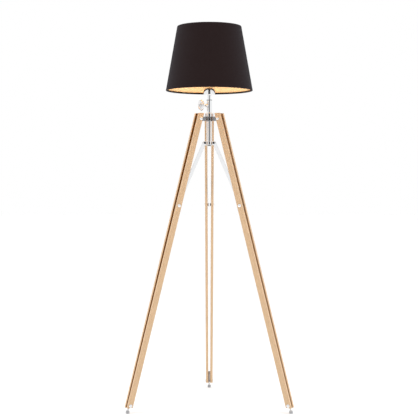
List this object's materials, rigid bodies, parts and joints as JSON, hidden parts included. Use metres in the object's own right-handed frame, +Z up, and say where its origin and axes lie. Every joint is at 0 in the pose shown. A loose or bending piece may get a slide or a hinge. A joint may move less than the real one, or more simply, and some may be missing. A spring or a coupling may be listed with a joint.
{
  "type": "tripod floor lamp",
  "caption": "Tripod floor lamp with folding wooden slat legs, a chromed pole that slides in a clamped tube to set the height, and a tapered black fabric shade.",
  "frame": {"origin": "on the floor, on the axis of the centre column, which is the centre of the circle that the three round feet stand on", "axes": "+Z up the column, +Y towards the rear leg, +X to the right as seen from the front"},
  "size_m": [0.66, 0.5719, 1.523],
  "materials": {
    "wood": "clear satin lacquer over pale hardwood",
    "chrome": "bright chrome plate",
    "black_nickel": "dark bright plating",
    "dark_steel": "satin",
    "dark_nylon": "satin moulded",
    "pale_nylon": "satin moulded",
    "black_rubber": "matte",
    "grey_rubber": "matte",
    "brass": "machined",
    "black_plastic": "moulded",
    "ceramic": "glazed ceramic insert",
    "white_enamel": "white enamel",
    "gold_lining": "satin gold laminate",
    "black_fabric": "plain woven cotton",
    "aluminium": "rolled thread",
    "opal_glass": "opal, warm white when lit"
  },
  "bodies": {
    "frame": {"tripod_head": "black_nickel", "head_cap": "chrome", "head_screws": "dark_steel", "outer_tube": "chrome", "guide_bush": "dark_nylon", "clamp_boss": "chrome", "end_plug": "pale_nylon", "cable_grommet": "black_rubber"},
    "collar": {"spreader_collar": "chrome", "collar_liner": "dark_nylon", "collar_pins": "black_nickel"},
    "brace_1": {"brace_1": "chrome"},
    "brace_2": {"brace_2": "chrome"},
    "brace_3": {"brace_3": "chrome"},
    "leg_1": {"leg_1_left_slat": "wood", "leg_1_right_slat": "wood", "leg_1_bolts": "chrome", "leg_1_cap_nuts": "chrome", "leg_1_washers": "pale_nylon", "leg_1_spacers": "dark_steel", "leg_1_foot_peg": "chrome", "leg_1_foot_pad": "grey_rubber"},
    "leg_2": {"leg_2_left_slat": "wood", "leg_2_right_slat": "wood", "leg_2_bolts": "chrome", "leg_2_cap_nuts": "chrome", "leg_2_washers": "pale_nylon", "leg_2_spacers": "dark_steel", "leg_2_foot_peg": "chrome", "leg_2_foot_pad": "grey_rubber"},
    "leg_3": {"leg_3_left_slat": "wood", "leg_3_right_slat": "wood", "leg_3_bolts": "chrome", "leg_3_cap_nuts": "chrome", "leg_3_washers": "pale_nylon", "leg_3_spacers": "dark_steel", "leg_3_foot_peg": "chrome", "leg_3_foot_pad": "grey_rubber"},
    "knob": {"clamp_screw": "chrome", "clamp_knob": "chrome", "knob_centre": "dark_nylon"},
    "pole_guide": {"pole_foot_bush": "dark_nylon"},
    "pole": {"inner_pole": "chrome", "pole_insert": "brass", "holder_nipple": "brass", "holder_cup": "chrome", "holder_locknut": "brass", "lampholder": "black_plastic", "lampholder_contact": "ceramic", "shade_carrier": "white_enamel", "shade_ring_nut": "black_plastic", "shade_wires": "white_enamel", "shade_lining": "gold_lining", "shade_skin": "black_fabric", "shade_edge_rolls": "black_fabric", "bulb_cap": "aluminium", "bulb_glass": "opal_glass"}
  },
  "joints": [
    {"name": "leg_1_fold", "type": "hinge", "parent": "frame", "child": "leg_1", "pos_m": [0, 0.047, 1.152], "axis": [-1, 0, 0], "range_deg": [0, 12]},
    {"name": "leg_2_fold", "type": "hinge", "parent": "frame", "child": "leg_2", "pos_m": [-0.0407, -0.0235, 1.152], "axis": [0.5, -0.866, 0], "range_deg": [0, 12]},
    {"name": "leg_3_fold", "type": "hinge", "parent": "frame", "child": "leg_3", "pos_m": [0.0407, -0.0235, 1.152], "axis": [0.5, 0.866, 0], "range_deg": [0, 12]},
    {"name": "collar_slide", "type": "slide", "parent": "frame", "child": "collar", "axis": [0, 0, 1], "range_m": [0, 0.012]},
    {"name": "brace_1_pivot", "type": "hinge", "parent": "collar", "child": "brace_1", "pos_m": [0, 0.024, 1.05514], "axis": [-1, 0, 0], "range_deg": [0, 16.5]},
    {"name": "brace_2_pivot", "type": "hinge", "parent": "collar", "child": "brace_2", "pos_m": [-0.02079, -0.012, 1.05514], "axis": [0.5, -0.866, 0], "range_deg": [0, 16.5]},
    {"name": "brace_3_pivot", "type": "hinge", "parent": "collar", "child": "brace_3", "pos_m": [0.02079, -0.012, 1.05514], "axis": [0.5, 0.866, 0], "range_deg": [0, 16.5]},
    {"name": "knob_turn", "type": "hinge", "parent": "frame", "child": "knob", "pos_m": [-0.03291, -0.019, 1.206], "axis": [-0.866, -0.5, 0], "range_deg": [0, 360]},
    {"name": "pole_slide", "type": "slide", "parent": "frame", "child": "pole_guide", "axis": [0, 0, 1], "range_m": [-0.015, 0.1]},
    {"name": "pole_turn", "type": "hinge", "parent": "pole_guide", "child": "pole", "pos_m": [0, 0, 1.1], "axis": [0, 0, 1], "continuous": true}
  ],
  "couplings": [
    {"joint": "leg_2_fold", "follows": "leg_1_fold", "ratio": 1},
    {"joint": "leg_3_fold", "follows": "leg_1_fold", "ratio": 1},
    {"joint": "collar_slide", "follows": "leg_1_fold", "m_per_rad": 0.0555},
    {"joint": "brace_1_pivot", "follows": "leg_1_fold", "ratio": 1.35},
    {"joint": "brace_2_pivot", "follows": "leg_1_fold", "ratio": 1.35},
    {"joint": "brace_3_pivot", "follows": "leg_1_fold", "ratio": 1.35}
  ]
}
